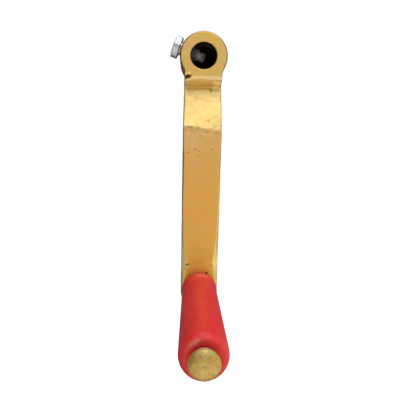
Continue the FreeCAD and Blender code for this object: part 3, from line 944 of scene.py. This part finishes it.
def red_plastic():
    """Satin red plastic, a little mottled and rubbed, with dust and a painted sheen at its base, and paler at
    a spot on its rim.
    """
    s = Surface("red_plastic", 0.5, 0.0)
    s.shader.inputs["Specular IOR Level"].default_value = 0.38
    mottle = s.noise(9.0, 3, 0.6, stretch=GRIP_STRETCH)
    colour = s.patched(DEEP_RED, CLEAR_RED, mottle, 0.35, 0.7)
    colour = s.patched(colour, RUBBED_RED, s.noise(2.5, 4, 0.6, (1, 6, 2), GRIP_STRETCH), 0.60, 0.82, 0.18)
    colour = s.mix(s.attribute("dust_and_sheen"), colour, DUST_AND_SHEEN_RED)
    s.drive("Base Color", s.mix(s.attribute("pale_rim_spot"), colour, PALE_RIM_RED))
    s.drive("Roughness", s.ramp(s.noise(4.0, 3, 0.5, (3, 3, 8), GRIP_STRETCH), 0.3, 0.75, 0.42, 0.52))
    s.bump([(s.noise(4.5, 2, 0.5, (6, 1, 4), GRIP_STRETCH), 0.05, 0.3)])
    return s.material


DARK_ZINC = (0.54, 0.55, 0.54)
LIGHT_ZINC = (0.66, 0.67, 0.65)
SPOTTED_ZINC = (0.44, 0.43, 0.40)
OILY_SHADED_ZINC = (0.17, 0.155, 0.135)
OILY_ROUGHNESS = 1.3


def bright_zinc():
    """Bright zinc plate with faint clouds and spots, and dark with oil and painted shade where the bolt's
    mark for the bore is.
    """
    s = Surface("bright_zinc", 0.32, 0.75)
    colour = s.patched(DARK_ZINC, LIGHT_ZINC, s.noise(2.5, 4, 0.6), 0.35, 0.7)
    colour = s.patched(colour, SPOTTED_ZINC, s.noise(0.9, 4, 0.7, (3, 3, 3)), 0.62, 0.8, 0.4)
    oil_and_shade = s.attribute("oil_and_shade")
    s.drive("Base Color", s.mix(oil_and_shade, colour, OILY_SHADED_ZINC))
    patchy = s.ramp(s.noise(1.6, 4, 0.6, (5, 2, 1)), 0.3, 0.75, 0.26, 0.42)
    s.drive("Roughness", s.calculated("MAXIMUM", patchy, s.calculated("MULTIPLY", oil_and_shade, OILY_ROUGHNESS)))
    s.bump([(s.noise(0.8, 3, 0.6, (1, 1, 6)), 0.03, 0.4)])
    return s.material


DARK_STEEL = (0.20, 0.19, 0.18)
LIGHT_STEEL = (0.34, 0.32, 0.30)
RUST = (0.16, 0.075, 0.035)


def plain_steel():
    """Unplated steel, cloudy, with spots of rust."""
    s = Surface("plain_steel", 0.45, 0.9)
    colour = s.patched(DARK_STEEL, LIGHT_STEEL, s.noise(3.0, 4, 0.65), 0.35, 0.7)
    s.drive("Base Color", s.patched(colour, RUST, s.noise(1.2, 5, 0.7, (8, 3, 3)), 0.6, 0.8, 0.6))
    s.drive("Roughness", s.ramp(s.noise(1.4, 4, 0.6, (2, 7, 1)), 0.3, 0.75, 0.38, 0.60))
    s.bump([(s.noise(0.7, 4, 0.6, (4, 4, 4)), 0.03, 0.4)])
    return s.material


def dress(piece, material):
    """Gives a piece its only material."""
    piece.data.materials.clear()
    piece.data.materials.append(material)


# ---------------------------------------------------------------- studio

# Brightness of the studio by the sine of the elevation, from straight down to straight up
STUDIO_LEVELS = [
    (-1.0, 0.6),
    (-0.9, 0.95),
    (-0.5, 1.25),
    (-0.22, 0.69),
    (0.0, 0.61),
    (0.3, 0.61),
    (0.9, 0.46),
]
STUDIO_BEHIND = 0.03
STUDIO_BACK = 0.22
STUDIO_LEFT = 0.35

# The floor, in millimetres
FLOOR_HALF_WIDTH = 1200
FLOOR_NEAR = -250
FLOOR_FAR = 2200
FLOOR_Z = -450
PAPER_WHITE = (0.92, 0.92, 0.92, 1)
PAPER_GLOW = 0.85

# The black card in the bore, a dark sheet that paints the bore's shade, in millimetres
CARD_R = 7.45
CARD_Y = -11.0
CARD_CORNERS = 48
SHADE_CARD_BLACK = (0.016, 0.011, 0.006, 1)

# Soft lights that all face LOOK_AT: name, place and size in metres, and power in watts
LOOK_AT = Vector((0, -40, -70)) * MM
LIGHTS = [
    ("key", (0.10, -0.30, 0.56), (0.6, 0.45), 1.5),
    ("overhead", (0.04, 0.06, 0.58), (0.5, 0.35), 1.7),
    ("left_strip", (-0.5, 0.13, -0.20), (0.32, 0.26), 0.14),
    ("right_strip", (0.5, 0.10, -0.08), (0.5, 0.6), 0.65),
]


def area_light(name, at, size, power):
    """A rectangular lamp at a place, facing LOOK_AT."""
    light = bpy.data.lights.new(name, "AREA")
    light.shape = "RECTANGLE"
    light.size, light.size_y = size
    light.energy = power
    lamp = new_object(name, light)
    lamp.location = at
    lamp.rotation_euler = (LOOK_AT - Vector(at)).to_track_quat("-Z", "Y").to_euler()


def studio_levels(tree, sine):
    """STUDIO_LEVELS as a colour ramp over the sine of the elevation."""
    levels = tree.nodes.new("ShaderNodeValToRGB")
    tree.links.new(map_range(tree, sine, -1.0, 1.0, kind="LINEAR"), levels.inputs["Fac"])
    stops = levels.color_ramp.elements
    while len(stops) < len(STUDIO_LEVELS):
        stops.new(0.5)
    for stop, (stop_sine, level) in zip(stops, STUDIO_LEVELS):
        stop.position = (stop_sine + 1) / 2
        stop.color = (level, level, level, 1)
    return levels.outputs["Color"]


def make_world():
    """A studio bright low in front of the object, dim at its left and behind it, and white to the camera."""
    world = bpy.data.worlds.new("studio")
    bpy.context.scene.world = world
    world.use_nodes = True
    tree = world.node_tree
    way = tree.nodes.new("ShaderNodeSeparateXYZ")
    tree.links.new(tree.nodes.new("ShaderNodeTexCoord").outputs["Generated"], way.inputs[0])
    in_front = map_range(tree, way.outputs["Y"], -0.15, 0.45, 1.0, STUDIO_BEHIND)
    far_back = map_range(tree, way.outputs["Y"], 0.45, 0.75, 0.0, STUDIO_BACK)
    towards_right = map_range(tree, way.outputs["X"], -0.95, -0.25, STUDIO_LEFT, 1.0)
    share = calculated(tree, "MULTIPLY", calculated(tree, "MAXIMUM", in_front, far_back), towards_right)
    mix = tree.nodes.new("ShaderNodeMix")
    tree.links.new(tree.nodes.new("ShaderNodeLightPath").outputs["Is Camera Ray"], mix.inputs["Factor"])
    brightness = calculated(tree, "MULTIPLY", studio_levels(tree, way.outputs["Z"]), share)
    tree.links.new(brightness, mix.inputs["A"])
    mix.inputs["B"].default_value = 1.0
    background = tree.nodes["Background"]
    background.inputs["Color"].default_value = (1, 1, 1, 1)
    tree.links.new(mix.outputs["Result"], background.inputs["Strength"])


def plain_face(name, points, material_name, inputs):
    """One flat face through points in millimetres, in a material with the shader inputs given."""
    face = mesh_object(name, points, [tuple(range(len(points)))])
    material = bpy.data.materials.new(material_name)
    material.use_nodes = True
    shader = material.node_tree.nodes["Principled BSDF"]
    for socket, value in inputs.items():
        shader.inputs[socket].default_value = value
    dress(face, material)
    return face


def make_floor():
    """Glowing pale paper well below the object, which neither its gloss nor its shaded sides see."""
    left, right = -FLOOR_HALF_WIDTH, FLOOR_HALF_WIDTH
    corners = [(left, FLOOR_NEAR), (right, FLOOR_NEAR), (right, FLOOR_FAR), (left, FLOOR_FAR)]
    paper = {
        "Base Color": PAPER_WHITE,
        "Roughness": 0.9,
        "Emission Color": (1, 1, 1, 1),
        "Emission Strength": PAPER_GLOW,
    }
    floor = plain_face("floor", [(x, y, FLOOR_Z) for x, y in corners], "pale_paper", paper)
    floor.visible_glossy = False
    floor.visible_diffuse = False


def make_bore_shade_card():
    """A black card that closes the view through the bore and paints its shade."""
    angles = np.arange(CARD_CORNERS) * 2 * math.pi / CARD_CORNERS
    rim = [(CARD_R * math.cos(a), CARD_Y, CARD_R * math.sin(a)) for a in angles]
    black = {"Base Color": SHADE_CARD_BLACK, "Roughness": 1.0, "Specular IOR Level": 0.0}
    card = plain_face("bore_shade_card", rim, "painted_shade_card", black)


# ---------------------------------------------------------------- everything in its place

make_camera()
bpy.context.scene.view_settings.view_transform = "Standard"

dress(crank_arm(), yellow_zinc())
dress(set_bolt(), bright_zinc())
dress(spindle(), spindle_zinc())
dress(grip_sleeve(), red_plastic())
for node_name in ("base_washer", "head_washer", "rear_washer", "spindle_nut"):
    dress(bevelled(node_name, BROKEN_EDGE), bpy.data.materials["bright_zinc"])
dark_steel = plain_steel()
for node_name in ("grip_tube", "spring_washer"):
    dress(bevelled(node_name, BROKEN_EDGE), dark_steel)

make_world()
make_floor()
make_bore_shade_card()
for light in LIGHTS:
    area_light(*light)
